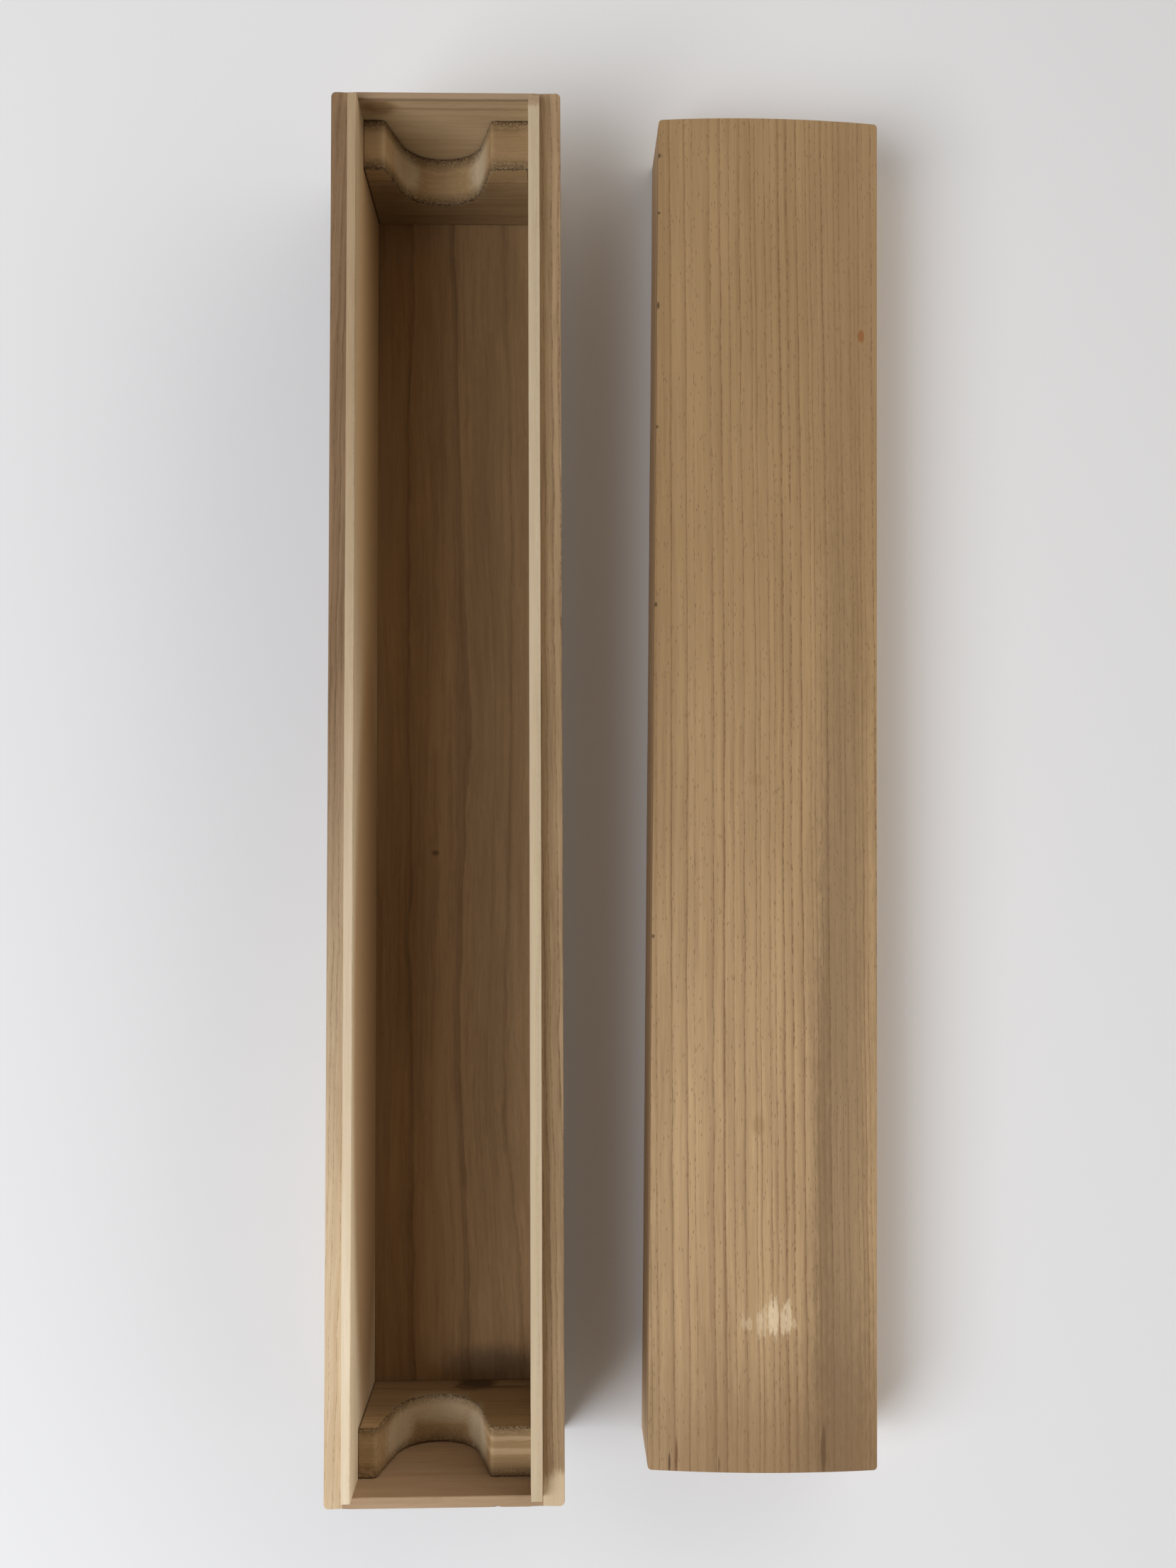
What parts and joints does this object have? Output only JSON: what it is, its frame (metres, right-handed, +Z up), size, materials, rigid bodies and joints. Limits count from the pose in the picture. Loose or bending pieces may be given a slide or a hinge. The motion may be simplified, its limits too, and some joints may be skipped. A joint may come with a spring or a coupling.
{
  "type": "hanging scroll box",
  "caption": "Long narrow paulownia box for a rolled hanging scroll, raised inner lips, scooped scroll rests at both ends, crowned lift-off lid lying beside it.",
  "frame": {"origin": "centre of the box's underside", "axes": "+Z up out of the open box, +Y along the box towards its far end in the picture, +X towards the lid lying beside it"},
  "size_m": [0.2011, 0.4982, 0.069],
  "materials": {
    "floor_wood": "bare planed paulownia, darkened",
    "wall_wood": "bare planed paulownia, aged and rubbed",
    "lip_wood": "bare planed paulownia, pale",
    "rest_wood": "bare sawn paulownia, fuzzy edges",
    "lid_wood": "bare planed paulownia, straight grain, aged",
    "lid_side_wood": "bare planed paulownia, aged"
  },
  "bodies": {
    "box": {"bottom_board": "floor_wood", "left_side_board": "wall_wood", "right_side_board": "wall_wood", "far_end_board": "wall_wood", "near_end_board": "wall_wood", "left_lip_board": "lip_wood", "right_lip_board": "lip_wood", "far_scroll_rest": "rest_wood", "near_scroll_rest": "rest_wood"},
    "lid": {"lid_top_board": "lid_wood", "lid_left_strip": "lid_side_wood", "lid_right_strip": "lid_side_wood", "lid_far_end_strip": "lid_side_wood", "lid_near_end_strip": "lid_side_wood"}
  },
  "joints": [
    {"name": "lid_lift", "type": "slide", "parent": "box", "child": "lid", "axis": [0, 0, 1], "range_m": [0, 0.11]}
  ]
}
